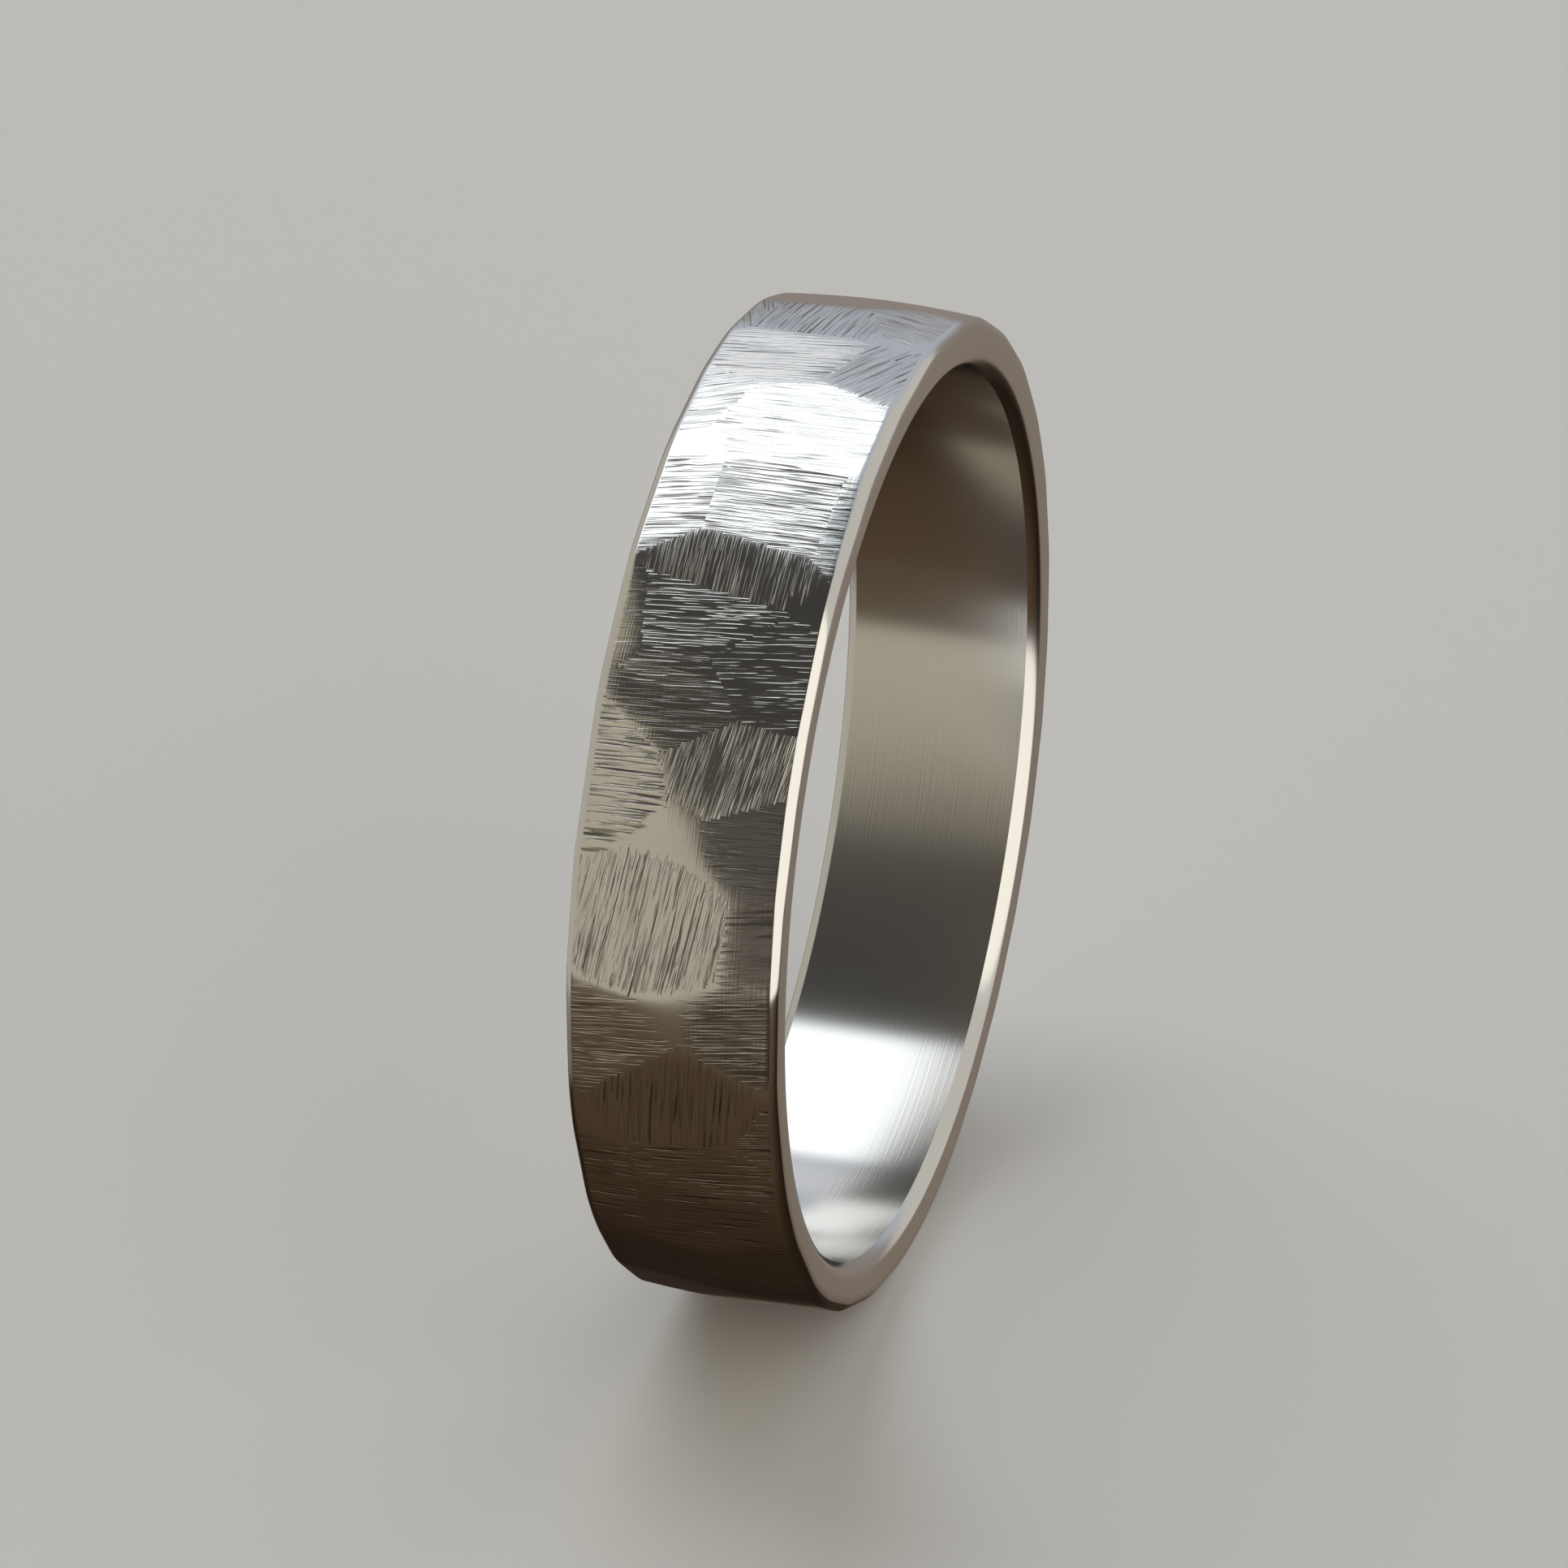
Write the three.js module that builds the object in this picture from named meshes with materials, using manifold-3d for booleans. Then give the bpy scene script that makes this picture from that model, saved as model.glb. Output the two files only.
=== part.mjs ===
// A plain wedding band of white metal, standing on its edge. It is a round blank with a slight crown
// and softened edges, dressed all over the outside with shallow flats cut by hand. Narrow lands of
// the blank are left between the flats, and the bore is smooth. The band is one piece.
//
// Units are millimetres. +X is the axis of the finger bore, +Z is up, and the origin is the centre
// of the bore. An angle round the band is counted in degrees from the top (+Z) towards the front (-Y).

import * as THREE from 'three';
import { mergeVertices } from 'three/addons/utils/BufferGeometryUtils.js';
import Module from 'manifold-3d';

// ---- Driving dimensions ----

const insideCircumference = 54;   // the ring size is the length once round the inside
const bandWidth = 4.0;
const blankWall = 1.075;          // wall of the round blank, which the lands keep
const flatWall = 1.02;            // wall left at the middle of an average flat
const wallDrift = 0.06;           // the front is thinner and the back thicker by this much
const crownRadius = 20;           // the outside has this slight crown across the band
const outerEase = 0.16;           // softening of the two outer edges, both across and down the wall
const easeFullness = 1.5;         // shape of an outer edge: 1 is a straight bevel, 2 a quarter round
const innerEaseAcross = 0.22;     // how far the rolled inner edges reach along the bore
const innerEaseDeep = 0.30;       // how far they reach out from the bore
const restDepth = 0.03;           // the flat that the band stands on is cut this much deeper

const roundSegments = 120;        // straight segments once round the band
const crownSegments = 10;         // segments across the crown
const easeSegments = 3;           // segments in each outer and inner edge

// ---- Sizes worked out from them ----

const boreRadius = insideCircumference / (2 * Math.PI);
const blankRadius = boreRadius + blankWall;
const halfWidth = bandWidth / 2;

const cutterSide = 1.5 * bandWidth; // a cutting block is wide enough for any one flat
const cutterHeight = bandWidth / 2;

const { degToRad } = THREE.MathUtils;
const alongBore = new THREE.Vector3(1, 0, 0);

// ---- The flats ----

// The flats on the top and front. Each has the angle of its middle, its place across the band as
// a share of half the width, the extra depth of its cut, and its lean to the right in degrees.
const frontFlats = [
  { angle: -20.0, across: -0.35, depth: 0.000, lean: 0 },
  { angle: -11.0, across: 0.80, depth: 0.000, lean: 0 },
  { angle: -8.5, across: -0.25, depth: 0.005, lean: 0 },
  { angle: -9.0, across: -1.20, depth: 0.000, lean: 0 },
  { angle: 2.0, across: -0.30, depth: 0.008, lean: 0 },
  { angle: 4.0, across: 0.85, depth: 0.000, lean: 0 },
  { angle: 12.0, across: -1.10, depth: 0.000, lean: 0 },
  { angle: 15.0, across: 0.25, depth: 0.020, lean: 0 },
  { angle: 28.0, across: 0.20, depth: 0.012, lean: 0 },
  { angle: 28.0, across: -0.85, depth: 0.000, lean: 0 },
  { angle: 28.5, across: 1.25, depth: 0.008, lean: 0 },
  { angle: 35.5, across: 0.00, depth: 0.002, lean: 0 },
  { angle: 42.0, across: -0.20, depth: 0.004, lean: 0 },
  { angle: 43.0, across: -1.15, depth: 0.012, lean: -1 },
  { angle: 48.0, across: 0.65, depth: 0.015, lean: 0 },
  { angle: 51.0, across: -0.15, depth: 0.008, lean: 0 },
  { angle: 57.0, across: 0.45, depth: 0.004, lean: 0 },
  { angle: 60.5, across: -0.68, depth: 0.024, lean: -4 },
  { angle: 65.5, across: 1.05, depth: 0.004, lean: 0 },
  { angle: 76.0, across: -0.20, depth: 0.024, lean: -1 },
  { angle: 77.0, across: 1.15, depth: 0.000, lean: 0 },
  { angle: 87.0, across: 0.95, depth: 0.000, lean: 0 },
  { angle: 91.0, across: -0.80, depth: 0.000, lean: 0 },
  { angle: 97.5, across: 0.05, depth: 0.015, lean: 0 },
  { angle: 102.0, across: 1.25, depth: 0.000, lean: 0 },
  { angle: 107.5, across: 0.25, depth: 0.000, lean: 0 },
  { angle: 110.0, across: -0.95, depth: 0.000, lean: 0 },
  { angle: 116.0, across: 0.15, depth: 0.004, lean: 0 },
  { angle: 126.0, across: 0.75, depth: 0.000, lean: 0 },
  { angle: 128.0, across: -0.40, depth: 0.000, lean: 0 },
];

const restFlat = { angle: 180, across: 0, depth: restDepth, lean: 0 };

// Underneath and behind, two staggered flats make a row, each row a little different. The rows
// leave the flat that the band stands on clear.
function backFlats() {
  const firstRow = 139;
  const lastRow = 325;
  const rowPitch = 11.5;
  const clearOfRest = 14;
  const stagger = 5;
  const leftPlace = -0.62;
  const rightPlace = 0.6;
  const angleSpread = 2.5;
  const placeSpread = 0.25;
  const goldenShare = 0.618;
  const flats = [];
  for (let row = 0; firstRow + row * rowPitch < lastRow; row += 1) {
    const angle = firstRow + row * rowPitch;
    if (Math.abs(angle - restFlat.angle) < clearOfRest) continue;
    const shift = ((row * goldenShare) % 1) - 0.5;
    const turn = angleSpread * shift;
    const sidestep = placeSpread * shift;
    flats.push({ angle: angle + turn, across: leftPlace + sidestep, depth: 0, lean: 0 });
    flats.push({ angle: angle + stagger - turn, across: rightPlace + sidestep, depth: 0, lean: 0 });
  }
  return flats;
}

// The direction straight out of the band at an angle round it.
function outwardAt(degrees) {
  const turn = degToRad(degrees);
  return new THREE.Vector3(0, -Math.sin(turn), Math.cos(turn));
}

// The plane of a flat: its outward normal, and its distance from the centre of the bore.
function planeOf(flat) {
  const outward = outwardAt(flat.angle);
  const x = flat.across * halfWidth;
  const wall = flatWall - wallDrift * Math.sin(degToRad(flat.angle)) - flat.depth;
  const radius = boreRadius + wall - (x * x) / (2 * crownRadius);
  const slope = Math.atan(x / crownRadius) + degToRad(flat.lean);
  const normal = outward.clone().multiplyScalar(Math.cos(slope)).addScaledVector(alongBore, Math.sin(slope));
  const middle = outward.clone().multiplyScalar(radius).addScaledVector(alongBore, x);
  return { normal, distance: normal.dot(middle), middle };
}

// ---- Solids ----

const wasm = await Module();
wasm.setup();

function solidOf(geometry) {
  const bare = geometry.clone();
  bare.deleteAttribute('normal');
  bare.deleteAttribute('uv');
  const merged = mergeVertices(bare);
  const mesh = new wasm.Mesh({
    numProp: 3,
    vertProperties: new Float32Array(merged.attributes.position.array),
    triVerts: new Uint32Array(merged.index.array),
  });
  return new wasm.Manifold(mesh);
}

function geometryOf(solid) {
  const mesh = solid.getMesh();
  const geometry = new THREE.BufferGeometry();
  geometry.setAttribute('position', new THREE.BufferAttribute(mesh.vertProperties, 3));
  geometry.setIndex(new THREE.BufferAttribute(mesh.triVerts, 1));
  return geometry;
}

// The softened outer corner of the section: a run of points from the outside to the side face.
function softCorner() {
  const points = [];
  for (let step = 0; step <= easeSegments; step += 1) {
    const turn = (step / easeSegments) * (Math.PI / 2);
    const along = Math.sin(turn) ** (2 / easeFullness);
    const up = Math.cos(turn) ** (2 / easeFullness);
    points.push({ fromSide: outerEase * (1 - along), fromOutside: outerEase * (1 - up) });
  }
  return points;
}

// The inner corner: a run of points from a crisp edge at the bore to the side face, which it rolls into.
function rolledCorner() {
  const points = [];
  for (let step = 0; step <= easeSegments; step += 1) {
    const share = step / easeSegments;
    points.push({ fromSide: innerEaseAcross * (1 - share) ** 2, fromBore: innerEaseDeep * share });
  }
  return points;
}

function crownedRadius(x) {
  return blankRadius - (x * x) / (2 * crownRadius);
}

// The right half of the blank's outline, from the middle of the crown to the axis.
function blankOutline() {
  const crownReach = halfWidth - outerEase;
  const points = [];
  for (let step = 0; step < crownSegments / 2; step += 1) {
    const x = (step / (crownSegments / 2)) * crownReach;
    points.push(new THREE.Vector2(crownedRadius(x), x));
  }
  for (const { fromSide, fromOutside } of softCorner()) {
    points.push(new THREE.Vector2(crownedRadius(crownReach) - fromOutside, halfWidth - fromSide));
  }
  points.push(new THREE.Vector2(0, halfWidth));
  return points;
}

// The right half of the outline of the plug that clears the bore and rolls its edges.
function boreOutline() {
  const points = [];
  for (const { fromSide, fromBore } of rolledCorner()) {
    points.push(new THREE.Vector2(boreRadius + fromBore, halfWidth - fromSide));
  }
  points.push(new THREE.Vector2(boreRadius + innerEaseDeep, bandWidth));
  points.push(new THREE.Vector2(0, bandWidth));
  return points;
}

// A solid turned round the axis of the bore from the right half of its outline and its mirror image.
function turned(rightHalf) {
  const offMiddle = rightHalf.filter((point) => point.y > 0);
  const leftHalf = offMiddle.reverse().map((point) => new THREE.Vector2(point.x, -point.y));
  const geometry = new THREE.LatheGeometry([...leftHalf, ...rightHalf], roundSegments);
  geometry.rotateZ(-Math.PI / 2);
  return geometry;
}

// The blank is turned a little off the centre of the bore, towards the back.
function roundBlank() {
  const outside = turned(blankOutline());
  outside.translate(0, wallDrift, 0);
  return solidOf(outside).subtract(solidOf(turned(boreOutline())));
}

// A block that lies on the outside of a plane, over the flat that it cuts.
function cutterOn(plane) {
  const gap = plane.distance - plane.normal.dot(plane.middle);
  const centre = plane.middle.clone().addScaledVector(plane.normal, gap + cutterHeight / 2);
  const toPlane = new THREE.Quaternion().setFromUnitVectors(new THREE.Vector3(0, 0, 1), plane.normal);
  const geometry = new THREE.BoxGeometry(cutterSide, cutterSide, cutterHeight);
  geometry.applyQuaternion(toPlane);
  geometry.translate(centre.x, centre.y, centre.z);
  return solidOf(geometry);
}

function bandSolid() {
  let band = roundBlank();
  for (const flat of [...frontFlats, restFlat, ...backFlats()]) {
    band = band.subtract(cutterOn(planeOf(flat)));
  }
  return band;
}

// ---- The scene ----

function band() {
  const whiteMetal = new THREE.MeshStandardMaterial({ color: 0xb9b5af, roughness: 0.32, metalness: 1.0 });
  const mesh = new THREE.Mesh(geometryOf(bandSolid()), whiteMetal);
  mesh.name = 'band';
  return mesh;
}

const weddingBand = new THREE.Group();
weddingBand.add(band());

export default weddingBand;
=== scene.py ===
"""The looks of a plain wedding band of white metal, dressed all over with shallow hand-cut flats.

The band stands on its edge. +X is the axis of the finger bore, +Z is up and -Y is the side that the
camera is on, all in metres. An angle round the band is counted from the top (+Z) towards -Y.
The flats, the round blank that they are cut into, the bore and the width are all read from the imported
CAD node. The visible band is one closed mesh that follows them, with the worn ridges, file strokes
and polish of the real metal.
"""

import math

import bpy
import numpy as np
from mathutils import Euler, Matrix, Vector


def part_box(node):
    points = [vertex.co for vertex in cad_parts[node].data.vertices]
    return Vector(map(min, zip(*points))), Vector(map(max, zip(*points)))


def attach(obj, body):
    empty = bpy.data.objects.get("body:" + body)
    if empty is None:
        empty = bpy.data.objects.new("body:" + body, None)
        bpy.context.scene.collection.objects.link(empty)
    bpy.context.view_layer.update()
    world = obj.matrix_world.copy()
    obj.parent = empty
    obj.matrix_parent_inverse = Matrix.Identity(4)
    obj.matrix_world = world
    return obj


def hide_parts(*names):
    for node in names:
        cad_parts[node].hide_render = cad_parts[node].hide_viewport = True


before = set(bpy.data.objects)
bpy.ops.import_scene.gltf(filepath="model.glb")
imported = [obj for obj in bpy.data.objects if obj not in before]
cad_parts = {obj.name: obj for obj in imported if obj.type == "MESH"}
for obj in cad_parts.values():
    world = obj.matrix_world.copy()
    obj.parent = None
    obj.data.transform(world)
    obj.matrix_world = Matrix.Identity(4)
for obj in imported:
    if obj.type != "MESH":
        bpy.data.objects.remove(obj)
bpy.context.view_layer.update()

MM = 0.001

# ---- Sizes read from the CAD band ----

CAD_NODE = "band"
cad_low, cad_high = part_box(CAD_NODE)
HALF_WIDTH = cad_high.x
cad_points = np.array([v.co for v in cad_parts[CAD_NODE].data.vertices])
BORE_RADIUS = float(np.hypot(cad_points[:, 1], cad_points[:, 2]).min())

# ---- Finish of the visible band ----

RIDGE_SOFTNESS = 0.014 * MM     # how far the edges of the flats are worn down
HAND_WANDER = 0.003 * MM        # faint unevenness of each flat
OUTER_EASE = 0.16 * MM          # softening of the outer edges, across the band and down the wall
EASE_WANDER = 0.03 * MM         # how much that softening varies round the band
EASE_FULLNESS = 1.4             # shape of an outer edge: 1 is a straight bevel, 2 a quarter round
INNER_EASE_ACROSS = 0.22 * MM   # how far the rolled inner edges reach along the bore
INNER_EASE_DEEP = 0.30 * MM     # how far they reach out from the bore
CREASE = math.radians(30)       # sharper corners than this stay crisp

COLUMNS = 900                   # steps once round the band
OUTSIDE_ROWS = 64               # steps across the dressed outside
OUTER_EASE_ROWS = 8
SIDE_ROWS = 3
INNER_EASE_ROWS = 8
BORE_ROWS = 8

# The file strokes on the flats near these places: an angle round the band, a share of the half
# width, the slope of the strokes from the bore's axis down towards greater angles in degrees, and
# how deep they are, where 1 is usual.
STROKES = [
    (-20.0, -0.35, 80, 0.5), (-11.0, 0.80, 12, 1.5), (-8.5, -0.25, 92, 1.4), (-9.0, -1.00, 70, 1.2),
    (2.0, -0.30, -6, 1.2), (4.0, 0.85, -58, 1.2), (12.0, -1.00, -14, 1.3), (15.0, 0.25, -3, 0.9),
    (28.0, -0.85, -7, 1.4), (28.0, 0.20, -2, 1.7), (28.5, 1.00, -5, 1.7), (35.5, 0.00, 89, 1.1),
    (42.0, -0.20, -4, 1.4), (43.0, -1.00, -6, 0.5), (48.0, 0.65, -7, 1.4), (51.0, -0.15, -4, 1.0),
    (57.0, 0.45, -79, 1.1), (60.5, -0.68, -2, 2.5), (65.5, 1.00, -3, 1.4), (76.0, -0.20, -79, 1.9),
    (77.0, 1.00, -8, 1.2), (87.0, 0.95, -6, 0.7), (91.0, -0.80, -7, 1.0), (97.5, 0.05, -84, 1.2),
    (107.5, 0.25, -6, 1.3), (116.0, 0.15, -3, 1.2), (126.0, 0.75, -14, 1.0), (128.0, -0.40, -9, 1.2),
]
OTHER_STROKES = [(-5, 0.8), (8, 0.6), (-82, 0.9), (-12, 0.7), (4, 1.0), (-70, 0.8), (-3, 0.6)]


# ---- The outside, read from the CAD mesh ----

def outside_planes():
    """Every plane on the outside of the CAD band: its normal, distance from the centre, area and moment."""
    least_radius = BORE_RADIUS + 0.4 * MM
    steepest_lean = 0.3
    same_facing = 0.99999
    same_distance = 0.004 * MM
    planes = []
    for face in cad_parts[CAD_NODE].data.polygons:
        centre = face.center
        if math.hypot(centre.y, centre.z) < least_radius or abs(face.normal.x) > steepest_lean:
            continue
        distance = face.normal.dot(centre)
        for plane in planes:
            aligned = plane["normal"].dot(face.normal) > same_facing
            if aligned and abs(plane["distance"] - distance) < same_distance:
                plane["area"] += face.area
                plane["moment"] += centre * face.area
                break
        else:
            planes.append({"normal": face.normal.copy(), "distance": distance,
                           "area": face.area, "moment": centre * face.area})
    return planes


def blank_form(facets):
    """The round blank, fitted to the facets of it that the flats leave."""
    middles = np.array([p["moment"] / p["area"] for p in facets])
    radius = np.hypot(middles[:, 1], middles[:, 2])
    level = np.ones_like(radius)
    terms = [level, -middles[:, 1] / radius, middles[:, 2] / radius, middles[:, 0] ** 2]
    return np.linalg.lstsq(np.stack(terms, axis=1), radius, rcond=None)[0]


LEAST_FLAT = 0.40 * MM * MM     # any flat is larger than this, and any facet of the blank smaller
PLANES = outside_planes()
FLATS = [p for p in PLANES if p["area"] > LEAST_FLAT]
FLAT_NORMALS = np.array([p["normal"] for p in FLATS])
FLAT_DISTANCES = np.array([p["distance"] for p in FLATS])
FLAT_MIDDLES = np.array([p["moment"] / p["area"] for p in FLATS])
BLANK_FORM = blank_form([p for p in PLANES if p["area"] <= LEAST_FLAT])


def outside_radii(angle, x):
    """Radius of every flat's plane, and last of the round blank, at each angle and place across."""
    least_facing = 0.3
    far = 10 * BORE_RADIUS
    facing = (
        FLAT_NORMALS[:, 2] * np.cos(angle)[..., None]
        - FLAT_NORMALS[:, 1] * np.sin(angle)[..., None]
    )
    reach = FLAT_DISTANCES - FLAT_NORMALS[:, 0] * x[..., None]
    flats = np.where(facing > least_facing, reach / np.maximum(facing, least_facing), far)
    level, front, top, crown = BLANK_FORM
    blank = level + front * np.sin(angle) + top * np.cos(angle) + crown * x ** 2
    return np.concatenate([flats, blank[..., None]], axis=-1)


def wander(angle, x):
    """Slow unevenness left by the hand, between -1 and 1: three waves askew to each other."""
    around = 9 * angle
    across = x / MM
    bent = np.sin(2.3 * across + 1.7 * np.sin(around) + 0.4)
    slanted = np.sin(2 * around + 1.1 * across)
    short = np.sin(5 * around - 2.7 * across + 1.3)
    return 0.45 * bent + 0.35 * slanted + 0.20 * short


def dressed_surface(angle, x):
    """Outside radius, the deepest flat there, and how far inside a flat (1) or a land (-1) it is."""
    radii = outside_radii(angle, x)
    least = radii.min(axis=-1)
    blend = np.exp((least[..., None] - radii) / RIDGE_SOFTNESS).sum(axis=-1)
    radius = least - RIDGE_SOFTNESS * np.log(blend) + HAND_WANDER * wander(angle, x)
    inside = 2 / blend - 1
    on_flat = radii.argmin(axis=-1) < len(FLATS)
    return radius, radii[..., :-1].argmin(axis=-1), np.where(on_flat, inside, -inside)


# ---- The band as one closed mesh ----

REGIONS = (
    ["outside"] * OUTSIDE_ROWS
    + ["edge"] * OUTER_EASE_ROWS + ["side"] * SIDE_ROWS + ["inner_edge"] * INNER_EASE_ROWS
    + ["bore"] * BORE_ROWS
    + ["inner_edge"] * INNER_EASE_ROWS + ["side"] * SIDE_ROWS + ["edge"] * OUTER_EASE_ROWS
)
MATERIAL_ORDER = ["outside", "edge", "side", "inner_edge", "bore"]


def soft_corner():
    """Steps round an outer edge, as shares of its size down from the outside and short of the side."""
    for turn in np.linspace(0, math.pi / 2, OUTER_EASE_ROWS + 1)[1:]:
        yield 1 - math.cos(turn) ** (2 / EASE_FULLNESS), 1 - math.sin(turn) ** (2 / EASE_FULLNESS)


def edge_rows(angle, ease, side):
    """Rows from just past the shoulder of an outer edge, down the side face, to the bore."""
    shoulder = dressed_surface(angle, side * (HALF_WIDTH - ease))[0]
    foot = shoulder - ease
    head = BORE_RADIUS + INNER_EASE_DEEP
    rows = []
    for down, short in soft_corner():
        rows.append((HALF_WIDTH - ease * short, shoulder - ease * down))
    for share in np.linspace(0, 1, SIDE_ROWS + 1)[1:]:
        rows.append((HALF_WIDTH, foot + (head - foot) * share))
    for share in np.linspace(1, 0, INNER_EASE_ROWS + 1)[1:]:
        roll = INNER_EASE_ACROSS * (1 - share) ** 2
        rows.append((HALF_WIDTH - roll, BORE_RADIUS + INNER_EASE_DEEP * share))
    return [(side * x, radius) for x, radius in rows]


def section_rows(angle):
    """Rows of (x, radius) once round the section: outside, right edge, bore, left edge.

    Each of the two is one number for the whole row, or a number for each angle.
    """
    ease = OUTER_EASE + EASE_WANDER * (np.sin(3 * angle + 0.6) + np.sin(7 * angle)) / 2
    rows = []
    for share in np.linspace(-1, 1, OUTSIDE_ROWS + 1):
        x = share * (HALF_WIDTH - ease)
        rows.append((x, dressed_surface(angle, x)[0]))
    rows += edge_rows(angle, ease, 1)
    bore_reach = HALF_WIDTH - INNER_EASE_ACROSS
    for share in np.linspace(1, -1, BORE_ROWS + 1)[1:-1]:
        rows.append((share * bore_reach, BORE_RADIUS))
    rows += reversed(edge_rows(angle, ease, -1))
    return rows


def stroke_manner(index, middle):
    """Slope of the file strokes in degrees on the flat with this middle, and how deep they are."""
    angle = math.degrees(math.atan2(-middle[1], middle[2]))
    across = middle[0] / HALF_WIDTH
    near = 8    # degrees round the band, and half the width counts as much

    def distance(stroke):
        turn = (angle - stroke[0] + 180) % 360 - 180
        return math.hypot(turn, near * (across - stroke[1]))

    nearest = min(STROKES, key=distance)
    if distance(nearest) < near:
        return nearest[2:]
    return OTHER_STROKES[index % len(OTHER_STROKES)]


STROKE_MANNERS = np.array([stroke_manner(i, m) for i, m in enumerate(FLAT_MIDDLES)])


def stroke_places(around, across, lathed, face_flat, dressed):
    """Place of every face corner across and along the strokes of its surface, in millimetres."""
    slope = np.radians(STROKE_MANNERS[face_flat, 0])[:, None]
    apart = 7.3     # moves each flat to a part of the pattern of its own
    u = around * np.cos(slope) - across * np.sin(slope) + apart * face_flat[:, None]
    v = around * np.sin(slope) + across * np.cos(slope)
    return np.stack([np.where(dressed, u, lathed), np.where(dressed, v, around)], axis=-1)


def add_uv(mesh, name, places):
    layer = mesh.uv_layers.new(name=name)
    layer.data.foreach_set("uv", places.reshape(-1).astype(np.float32))


def add_attribute(mesh, name, domain, values):
    attribute = mesh.attributes.new(name, "FLOAT", domain)
    attribute.data.foreach_set("value", values.reshape(-1).astype(np.float32))


def add_strokes(mesh, corner_angle, corner_x, corner_radius, row):
    """Maps the strokes over the faces, and says how deep they are on each."""
    face_flat = dressed_surface(corner_angle.mean(axis=-1), corner_x.mean(axis=-1))[1]
    dressed = (np.array(REGIONS)[row] == "outside")[:, None]
    around = corner_angle * BORE_RADIUS / MM
    lathed = (corner_x + corner_radius) / MM
    add_uv(mesh, "strokes", stroke_places(around, corner_x / MM, lathed, face_flat, dressed))
    add_uv(mesh, "turning", np.stack([lathed, around], axis=-1))
    add_attribute(mesh, "stroke_depth", "FACE", STROKE_MANNERS[face_flat, 1])


def add_inside(mesh, turn, x):
    """Says how far inside a flat each point of the outside is, with -1 for every other point."""
    inside = -np.ones(x.shape)
    outside = slice(0, OUTSIDE_ROWS + 1)
    inside[:, outside] = dressed_surface(turn[:, outside], x[:, outside])[2]
    add_attribute(mesh, "inside_flat", "POINT", inside)


def add_regions(mesh, row):
    """Gives each face the finish of its part of the section."""
    indices = np.array([MATERIAL_ORDER.index(name) for name in REGIONS])[row]
    mesh.polygons.foreach_set("material_index", indices.astype(np.int32))


def ring_faces(count):
    """Faces of a grid that closes both ways, with the column and the row that each starts at."""
    column, row = np.meshgrid(np.arange(COLUMNS), np.arange(count), indexing="ij")
    column = column.ravel()
    row = row.ravel()
    next_column = (column + 1) % COLUMNS
    next_row = (row + 1) % count
    quads = np.stack([column * count + row, next_column * count + row,
                      next_column * count + next_row, column * count + next_row], axis=-1)
    return quads, column, row


def band_mesh():
    angle = np.linspace(0, 2 * math.pi, COLUMNS, endpoint=False)
    rows = section_rows(angle)
    x = np.stack([np.broadcast_to(row_x, angle.shape) for row_x, _ in rows], axis=1)
    radius = np.stack([np.broadcast_to(row_radius, angle.shape) for _, row_radius in rows], axis=1)
    turn = np.broadcast_to(angle[:, None], x.shape)
    points = np.stack([x, -radius * np.sin(turn), radius * np.cos(turn)], axis=-1)
    quads, column, row = ring_faces(len(rows))
    mesh = bpy.data.meshes.new("dressed_band")
    mesh.from_pydata(points.reshape(-1, 3), [], quads)

    step = 2 * math.pi / COLUMNS
    corner_angle = angle[column][:, None] + step * np.array([0, 1, 1, 0])
    add_strokes(mesh, corner_angle, x.reshape(-1)[quads], radius.reshape(-1)[quads], row)
    add_inside(mesh, turn, x)
    add_regions(mesh, row)
    mesh.polygons.foreach_set("use_smooth", np.ones(len(quads), bool))
    mesh.set_sharp_from_angle(angle=CREASE)
    mesh.update()
    return mesh


# ---- Materials ----

METAL_COLOUR = (0.66, 0.64, 0.61, 1)
CUT_SHADE_COLOUR = (0.17, 0.16, 0.14, 1)      # painted shade down in the file strokes, where less light gets in


class Nodes:
    """A node tree, with short calls for the nodes that the finishes and the room share."""

    def __init__(self, tree):
        self.tree = tree

    def node(self, kind, **settings):
        made = self.tree.nodes.new(kind)
        for key, value in settings.items():
            setattr(made, key, value)
        return made

    def link(self, source, target):
        self.tree.links.new(source, target)

    def feed(self, value, socket):
        if isinstance(value, (int, float, tuple)):
            socket.default_value = value
        else:
            self.link(value, socket)

    def math(self, operation, first, second=0.0):
        made = self.node("ShaderNodeMath", operation=operation)
        self.feed(first, made.inputs[0])
        self.feed(second, made.inputs[1])
        return made.outputs[0]

    def remap(self, value, low, high, new_low=0.0, new_high=1.0):
        """The value eased from one level to another between two limits."""
        made = self.node("ShaderNodeMapRange", interpolation_type="SMOOTHSTEP")
        self.feed(value, made.inputs["Value"])
        made.inputs["From Min"].default_value = low
        made.inputs["From Max"].default_value = high
        made.inputs["To Min"].default_value = new_low
        made.inputs["To Max"].default_value = new_high
        return made.outputs["Result"]

    def blend(self, share, first, second):
        made = self.node("ShaderNodeMix", data_type="RGBA")
        self.feed(share, made.inputs["Factor"])
        self.feed(first, made.inputs["A"])
        self.feed(second, made.inputs["B"])
        return made.outputs["Result"]


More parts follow.
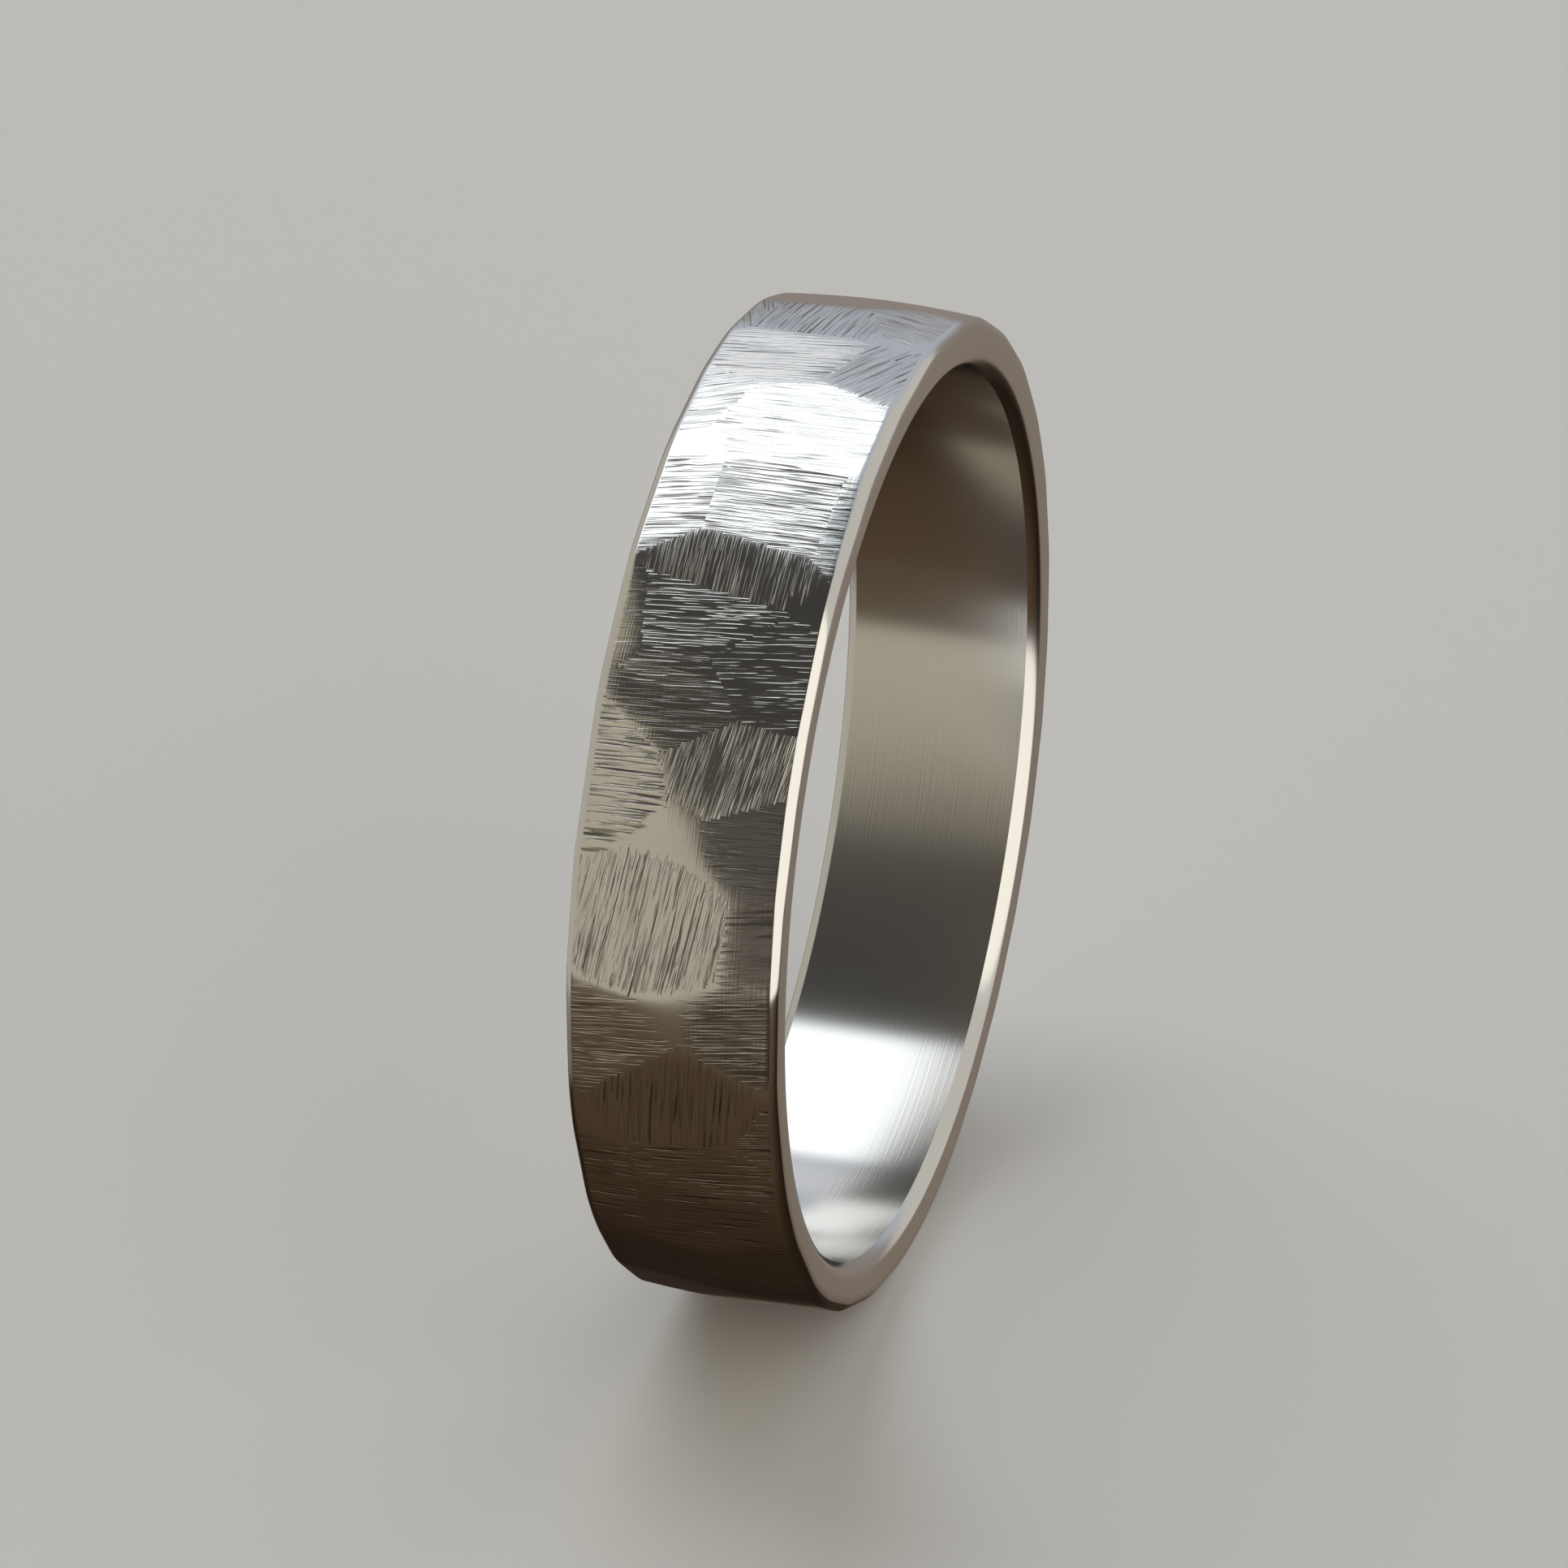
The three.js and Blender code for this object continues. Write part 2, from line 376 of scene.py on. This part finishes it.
class Finish(Nodes):
    """A finish of the metal, brushed along the strokes that its uv map gives."""

    def __init__(self, name):
        self.material = bpy.data.materials.new(name)
        self.material.use_nodes = True
        super().__init__(self.material.node_tree)
        self.surface = self.tree.nodes["Principled BSDF"]
        self.surface.inputs["Metallic"].default_value = 1.0
        self.surface.inputs["Base Color"].default_value = METAL_COLOUR

    def stroke_noise(self, across, along, detail=2.0, shift=0.0, uv_map="strokes"):
        """Noise drawn out along the strokes, with this many features to a millimetre each way."""
        place = self.node("ShaderNodeUVMap", uv_map=uv_map)
        stretch = self.node("ShaderNodeMapping")
        self.link(place.outputs[0], stretch.inputs["Vector"])
        stretch.inputs["Scale"].default_value = (across, along, 1)
        stretch.inputs["Location"].default_value = (shift, shift, shift)
        made = self.node("ShaderNodeTexNoise", noise_dimensions="2D")
        self.link(stretch.outputs[0], made.inputs["Vector"])
        made.inputs["Scale"].default_value = 1.0
        made.inputs["Detail"].default_value = detail
        return made.outputs[0]

    def cuts(self, across, along, shift, least=0.56, deepest=0.76):
        """Separate cuts along the strokes, 1 at the bottom of the deepest and 0 between them."""
        return self.remap(self.stroke_noise(across, along, detail=1.0, shift=shift), least, deepest)

    def attribute(self, name):
        return self.node("ShaderNodeAttribute", attribute_name=name).outputs["Fac"]

    def scaled(self, value, by):
        return self.math("MULTIPLY", value, by)

    def relief(self, height):
        """Raises the surface by this many millimetres."""
        made = self.node("ShaderNodeBump")
        made.inputs["Distance"].default_value = MM
        self.link(height, made.inputs["Height"])
        self.link(made.outputs[0], self.surface.inputs["Normal"])

    def brushed(self, roughness, amount):
        """Gloss that spreads across the strokes."""
        tangent = self.node("ShaderNodeTangent", direction_type="UV_MAP", uv_map="strokes")
        self.link(tangent.outputs[0], self.surface.inputs["Tangent"])
        self.surface.inputs["Anisotropic"].default_value = amount
        self.feed(roughness, self.surface.inputs["Roughness"])


def worked_share(finish):
    """How deep the file went: its work ends raggedly, just past the ridges, and spares the lands."""
    raggedness = 1.6
    border = finish.stroke_noise(across=11, along=0.6, shift=3.1)
    ragged = finish.scaled(finish.math("SUBTRACT", border, 0.5), raggedness)
    inside = finish.math("ADD", finish.attribute("inside_flat"), ragged)
    worked = finish.remap(inside, low=-0.55, high=-0.1)
    return finish.scaled(worked, finish.attribute("stroke_depth"))


def heavy_cuts(finish, worked):
    """The heavier file strokes, which come in patches."""
    patches = finish.stroke_noise(across=1.1, along=0.7, shift=5.7)
    patchy = finish.remap(patches, low=0.35, high=0.6, new_low=0.45, new_high=1.0)
    return finish.scaled(finish.cuts(across=17, along=0.6, shift=8.4), finish.scaled(worked, patchy))


def light_cuts(finish, worked):
    """The finer strokes between them, which cover about half of a flat."""
    cuts = finish.cuts(across=26, along=0.8, shift=2.2, least=0.48, deepest=0.68)
    return finish.scaled(cuts, worked)


def stroke_relief(finish, worked, heavy, light):
    """Height of the dressed surface in millimetres."""
    heavy_depth = 0.0056
    light_depth = 0.0024
    grain_height = 0.0012
    burnish_height = 0.0009
    depth = finish.math("ADD", finish.scaled(heavy, heavy_depth), finish.scaled(light, light_depth))
    fine = finish.scaled(finish.stroke_noise(across=44, along=1.6, detail=1), worked)
    burnished = finish.stroke_noise(across=30, along=0.7, uv_map="turning")
    raised = finish.math("ADD", finish.scaled(fine, grain_height),
                         finish.scaled(burnished, burnish_height))
    return finish.math("SUBTRACT", raised, depth)


def dressed_finish():
    """Flats with file strokes, duller and darkened by painted shade at the bottom, and burnished lands
    between them.
    """
    heavy_shade = 0.85
    light_shade = 0.30
    least_roughness = 0.13
    cut_roughness = 0.25
    finish = Finish("dressed_flats")
    worked = worked_share(finish)
    heavy = heavy_cuts(finish, worked)
    light = light_cuts(finish, worked)
    finish.relief(stroke_relief(finish, worked, heavy, light))
    # painted shade: the colour darkens at the bottom of the heavy strokes and in the light ones, where less
    # light gets in
    bottoms = finish.remap(heavy, low=0.35, high=1.0)
    shade = finish.math("ADD", finish.scaled(bottoms, heavy_shade), finish.scaled(light, light_shade))
    finish.link(finish.blend(shade, METAL_COLOUR, CUT_SHADE_COLOUR), finish.surface.inputs["Base Color"])
    roughness = finish.math("ADD", finish.scaled(shade, cut_roughness), least_roughness)
    finish.brushed(roughness, amount=0.5)
    return finish.material


def plain_finish(name, across, along, height, roughness, amount, detail=2.0):
    """A finish with one set of fine strokes, this many millimetres high."""
    finish = Finish(name)
    finish.relief(finish.scaled(finish.stroke_noise(across, along, detail), height))
    finish.brushed(roughness, amount)
    return finish.material


def edge_finish():
    return plain_finish("softened_edge", across=14, along=1.2, height=0.0008, roughness=0.12, amount=0.3)


def side_finish():
    return plain_finish("turned_side", across=26, along=0.4, height=0.0012, roughness=0.2, amount=0.5,
                        detail=3)


def inner_edge_finish():
    return plain_finish("reamed_edge", across=20, along=0.4, height=0.0008, roughness=0.16, amount=0.4)


def bore_finish():
    return plain_finish("brushed_bore", across=24, along=0.25, height=0.0007, roughness=0.18, amount=0.6,
                        detail=3)


def make_band():
    mesh = band_mesh()
    finishes = {"outside": dressed_finish(), "edge": edge_finish(), "side": side_finish(),
                "inner_edge": inner_edge_finish(), "bore": bore_finish()}
    for region in MATERIAL_ORDER:
        mesh.materials.append(finishes[region])
    band = bpy.data.objects.new("dressed_band", mesh)
    bpy.context.scene.collection.objects.link(band)
    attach(band, "root")
    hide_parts(CAD_NODE)


# ---- Studio ----

def make_floor():
    """A plain pale tabletop under the band. Its mirror image is left out of the polished metal."""
    reach = 150 * BORE_RADIUS   # past the view from any side
    mesh = bpy.data.meshes.new("floor")
    corners = [(-reach, -reach), (reach, -reach), (reach, reach), (-reach, reach)]
    mesh.from_pydata([(x, y, cad_low.z) for x, y in corners], [], [(0, 1, 2, 3)])
    material = bpy.data.materials.new("pale_floor")
    material.use_nodes = True
    surface = material.node_tree.nodes["Principled BSDF"]
    surface.inputs["Base Color"].default_value = (0.70, 0.67, 0.63, 1)
    surface.inputs["Roughness"].default_value = 0.8
    mesh.materials.append(material)
    floor = bpy.data.objects.new("floor", mesh)
    bpy.context.scene.collection.objects.link(floor)
    floor.visible_glossy = False


class Room(Nodes):
    """The light that comes from every direction, painted on in patches.

    A direction is given by its x, along the finger bore, and by its turn about the bore in degrees:
    0 is the horizon on the camera's side, 90 overhead, 180 the horizon behind and -90 underneath.
    """

    def __init__(self):
        world = bpy.data.worlds.new("room")
        world.use_nodes = True
        bpy.context.scene.world = world
        super().__init__(world.node_tree)
        place = self.node("ShaderNodeTexCoord").outputs["Generated"]
        split = self.node("ShaderNodeSeparateXYZ")
        self.link(place, split.inputs[0])
        self.x, self.y, self.z = split.outputs
        radians = self.math("ARCTAN2", self.z, self.math("MULTIPLY", self.y, -1.0))
        self.turn = self.math("DEGREES", radians)
        self.colour = None

    def backdrop(self, stops):
        """Colours all the way round the bore, from -180 to 180 degrees."""
        ramp = self.node("ShaderNodeValToRGB")
        elements = ramp.color_ramp.elements
        while len(elements) < len(stops):
            elements.new(0.5)
        for element, (degrees, colour) in zip(elements, stops):
            element.position = degrees / 360 + 0.5
            element.color = (*colour, 1)
        share = self.math("ADD", self.math("DIVIDE", self.turn, 360.0), 0.5)
        self.link(share, ramp.inputs["Fac"])
        self.colour = ramp.outputs["Color"]

    def between(self, value, low, high, soft):
        """1 between two limits and 0 outside them, eased over a soft border."""
        above = self.remap(value, low - soft, low + soft)
        below = self.remap(value, high - soft, high + soft, 1.0, 0.0)
        return self.math("MULTIPLY", above, below)

    def patch(self, colour, mask):
        self.colour = self.blend(mask, self.colour, (*colour, 1))

    def finish(self):
        self.link(self.colour, self.tree.nodes["Background"].inputs["Color"])


# Turns in degrees at which the patches of light and dark begin and end.
CARD_FOOT = -20.0
SOFTBOX_FOOT = 90.5
SOFTBOX_HEAD = 134.0
SECOND_BOX_FOOT = 140.0
SECOND_BOX_HEAD = 153.0
BORDER = 2.5            # half the soft border of a patch


def add_backdrop(room):
    """Brown below, lilac grey behind and blue grey overhead."""
    room.backdrop([
        (-180, (0.33, 0.315, 0.31)), (-170, (0.29, 0.26, 0.235)), (-146, (0.25, 0.205, 0.165)),
        (-138, (0.05, 0.036, 0.025)), (-122, (0.018, 0.012, 0.008)), (-100, (0.030, 0.019, 0.012)),
        (-82, (0.05, 0.031, 0.017)), (-64, (0.078, 0.050, 0.029)), (-44, (0.095, 0.063, 0.037)),
        (-30, (0.14, 0.105, 0.07)), (-18, (0.16, 0.13, 0.10)), (0, (0.20, 0.18, 0.15)),
        (88, (0.48, 0.58, 0.66)), (134, (0.60, 0.65, 0.75)), (170, (0.53, 0.58, 0.67)),
        (180, (0.33, 0.315, 0.31)),
    ])


def add_front(room):
    """A card towards the camera, darker higher up, and a pale wall to its left that leans away."""
    card_low = (0.14, 0.125, 0.105, 1)
    card_high = (0.060, 0.058, 0.053, 1)
    wall = (0.56, 0.52, 0.425)
    wall_lean = 0.0042
    upper_step = 0.055
    front = room.between(room.turn, CARD_FOOT, SOFTBOX_FOOT, BORDER)
    height = room.remap(room.turn, -8.0, 55.0)
    room.colour = room.blend(front, room.colour, room.blend(height, card_low, card_high))
    slanted = room.math("ADD", room.x, room.math("MULTIPLY", room.turn, wall_lean))
    stepped = room.math("ADD", slanted, room.remap(room.turn, 30.0, 46.0, 0.0, upper_step))
    left = room.remap(stepped, -0.16, -0.13, 1.0, 0.0)
    room.patch(wall, room.math("MULTIPLY", front, left))


def add_low_right(room):
    """The dark foot of the card."""
    low = room.between(room.turn, -34.0, CARD_FOOT, 3.0)
    room.patch((0.042, 0.032, 0.021), room.math("MULTIPLY", low, room.remap(room.x, -0.22, -0.12)))


def add_softboxes(room):
    """A large soft light overhead, and a dimmer one behind it."""
    overhead = room.between(room.turn, SOFTBOX_FOOT, SOFTBOX_HEAD, BORDER)
    left_of_middle = room.remap(room.x, -0.14, -0.06, 1.0, 0.0)
    room.patch((1.9, 2.03, 2.14), room.math("MULTIPLY", overhead, left_of_middle))
    behind = room.between(room.turn, SECOND_BOX_FOOT, SECOND_BOX_HEAD, BORDER)
    further_left = room.remap(room.x, -0.27, -0.25, 1.0, 0.0)
    room.patch((1.25, 1.28, 1.33), room.math("MULTIPLY", behind, further_left))


def add_sides(room):
    """A pale wall on the right with a bright window towards the front, and another on the far left."""
    right = room.math("MULTIPLY", room.remap(room.x, 0.35, 0.5), room.remap(room.z, -0.40, -0.33))
    room.patch((0.70, 0.69, 0.65), right)
    up_and_back = room.math("ADD", room.y, room.math("MULTIPLY", room.z, 0.7))
    window = room.math("MULTIPLY", right, room.remap(up_and_back, 0.34, 0.42, 1.0, 0.0))
    room.patch((1.38, 1.34, 1.24), window)
    far_left = room.math("MULTIPLY", room.remap(room.x, -0.76, -0.64, 1.0, 0.0),
                         room.remap(room.z, -0.62, -0.40))
    room.patch((0.55, 0.53, 0.47), far_left)


def make_room():
    room = Room()
    add_backdrop(room)
    add_front(room)
    add_low_right(room)
    add_softboxes(room)
    add_sides(room)
    room.finish()


# ---- Camera ----

def direction(azimuth, elevation):
    """Unit vector towards a place, with azimuth 0 on the camera's side (-Y) and 90 on +X."""
    turn = math.radians(azimuth)
    rise = math.radians(elevation)
    return Vector((math.sin(turn) * math.cos(rise), -math.cos(turn) * math.cos(rise), math.sin(rise)))


CAMERA_DISTANCE = 17.144 * BORE_RADIUS  # from the centre of the bore
CAMERA_AZIMUTH = 16.54                  # where it stands, in degrees
CAMERA_ELEVATION = 29.01
VIEW_AZIMUTH = 16.839                   # where it looks from, which sets the band a little off centre
VIEW_ELEVATION = 28.867
LENS = 176.8                            # millimetres, on a sensor of this width
SENSOR = 36


def make_camera():
    """Looks at the band from a little above and to the right, from well back through a long lens."""
    data = bpy.data.cameras.new("camera")
    data.sensor_width = SENSOR
    data.lens = LENS
    data.clip_start = 0.001
    data.clip_end = 10
    camera = bpy.data.objects.new("camera", data)
    camera.location = direction(CAMERA_AZIMUTH, CAMERA_ELEVATION) * CAMERA_DISTANCE
    camera.rotation_euler = Euler((math.radians(90 - VIEW_ELEVATION), 0, math.radians(VIEW_AZIMUTH)))
    bpy.context.scene.collection.objects.link(camera)
    bpy.context.scene.camera = camera


make_camera()
make_floor()
make_room()
make_band()
bpy.context.scene.view_settings.view_transform = "Standard"
